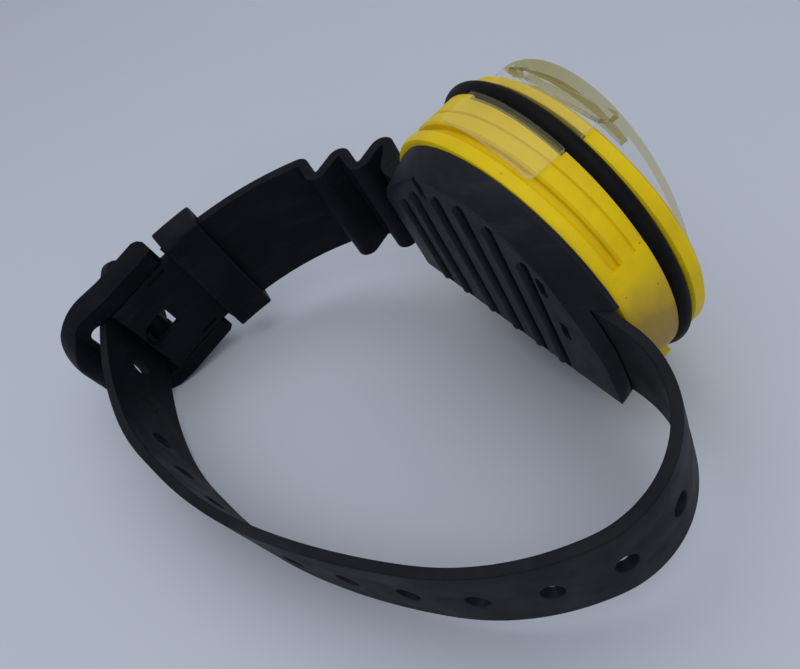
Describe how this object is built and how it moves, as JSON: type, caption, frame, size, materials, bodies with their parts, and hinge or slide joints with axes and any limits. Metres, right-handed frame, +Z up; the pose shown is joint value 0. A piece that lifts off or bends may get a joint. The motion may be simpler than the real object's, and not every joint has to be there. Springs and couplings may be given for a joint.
{
  "type": "wrist dive computer",
  "caption": "Wrist-worn dive computer: round yellow case with ribbed back pad, clear arched face guard held by a rubber ring, and a long holed rubber strap closed by a pin buckle.",
  "frame": {"origin": "centre of the back pad's wrist face", "axes": "+X across the case from the short strap towards the long strap, +Y out of the pad through the case towards the display (leaning back as the object lies), +Z up as the object lies on a table"},
  "size_m": [0.1312, 0.1056, 0.0616],
  "materials": {
    "yellow_case": "satin moulded yellow plastic",
    "pad_rubber": "semi-gloss moulded rubber",
    "ring_rubber": "smooth rubber",
    "clear_shield": "clear polished plastic, slightly yellowed",
    "window_glass": "polished",
    "seal_rubber": "matt",
    "steel": "fine brushed stainless steel",
    "mask_print": "matt printed sheet",
    "display_glass": "grey-green segment display",
    "connector_rubber": "soft striped connector",
    "board": "solder-masked laminate",
    "frame_plastic": "matt moulded plastic",
    "brass_disc": "bright",
    "strap_rubber": "satin moulded rubber",
    "buckle_plastic": "satin moulded plastic"
  },
  "bodies": {
    "case_and_strap": {"rear_housing": "yellow_case", "front_bezel": "yellow_case", "case_seal": "seal_rubber", "case_screws": "steel", "back_pad": "pad_rubber", "retaining_ring": "ring_rubber", "display_shield": "clear_shield", "window": "window_glass", "window_gasket": "seal_rubber", "display_mask": "mask_print", "display_panel": "display_glass", "display_connectors": "connector_rubber", "circuit_board": "board", "inner_frame": "frame_plastic", "battery_cell": "steel", "pressure_sensor": "steel", "buzzer": "brass_disc", "contact_studs": "steel", "strap_short": "strap_rubber", "strap_long": "strap_rubber", "buckle_pin": "steel"},
    "frame": {"buckle_frame": "buckle_plastic"},
    "tongue": {"buckle_tongue": "buckle_plastic"},
    "loop_keeper": {"keeper": "strap_rubber"}
  },
  "joints": [
    {"name": "buckle_frame_hinge", "type": "hinge", "parent": "case_and_strap", "child": "frame", "pos_m": [-0.06213, -0.05202, -0.00968], "axis": [0.0661, -0.2583, 0.9638], "range_deg": [0, 8]},
    {"name": "buckle_tongue_hinge", "type": "hinge", "parent": "case_and_strap", "child": "tongue", "pos_m": [-0.06213, -0.05202, -0.00968], "axis": [0.0661, -0.2583, 0.9638], "range_deg": [-10, 0]},
    {"name": "keeper_slide", "type": "hinge", "parent": "case_and_strap", "child": "loop_keeper", "pos_m": [0.00163, -0.03893, -0.01054], "axis": [0.0661, -0.2583, 0.9638], "range_deg": [-21, 0]}
  ]
}
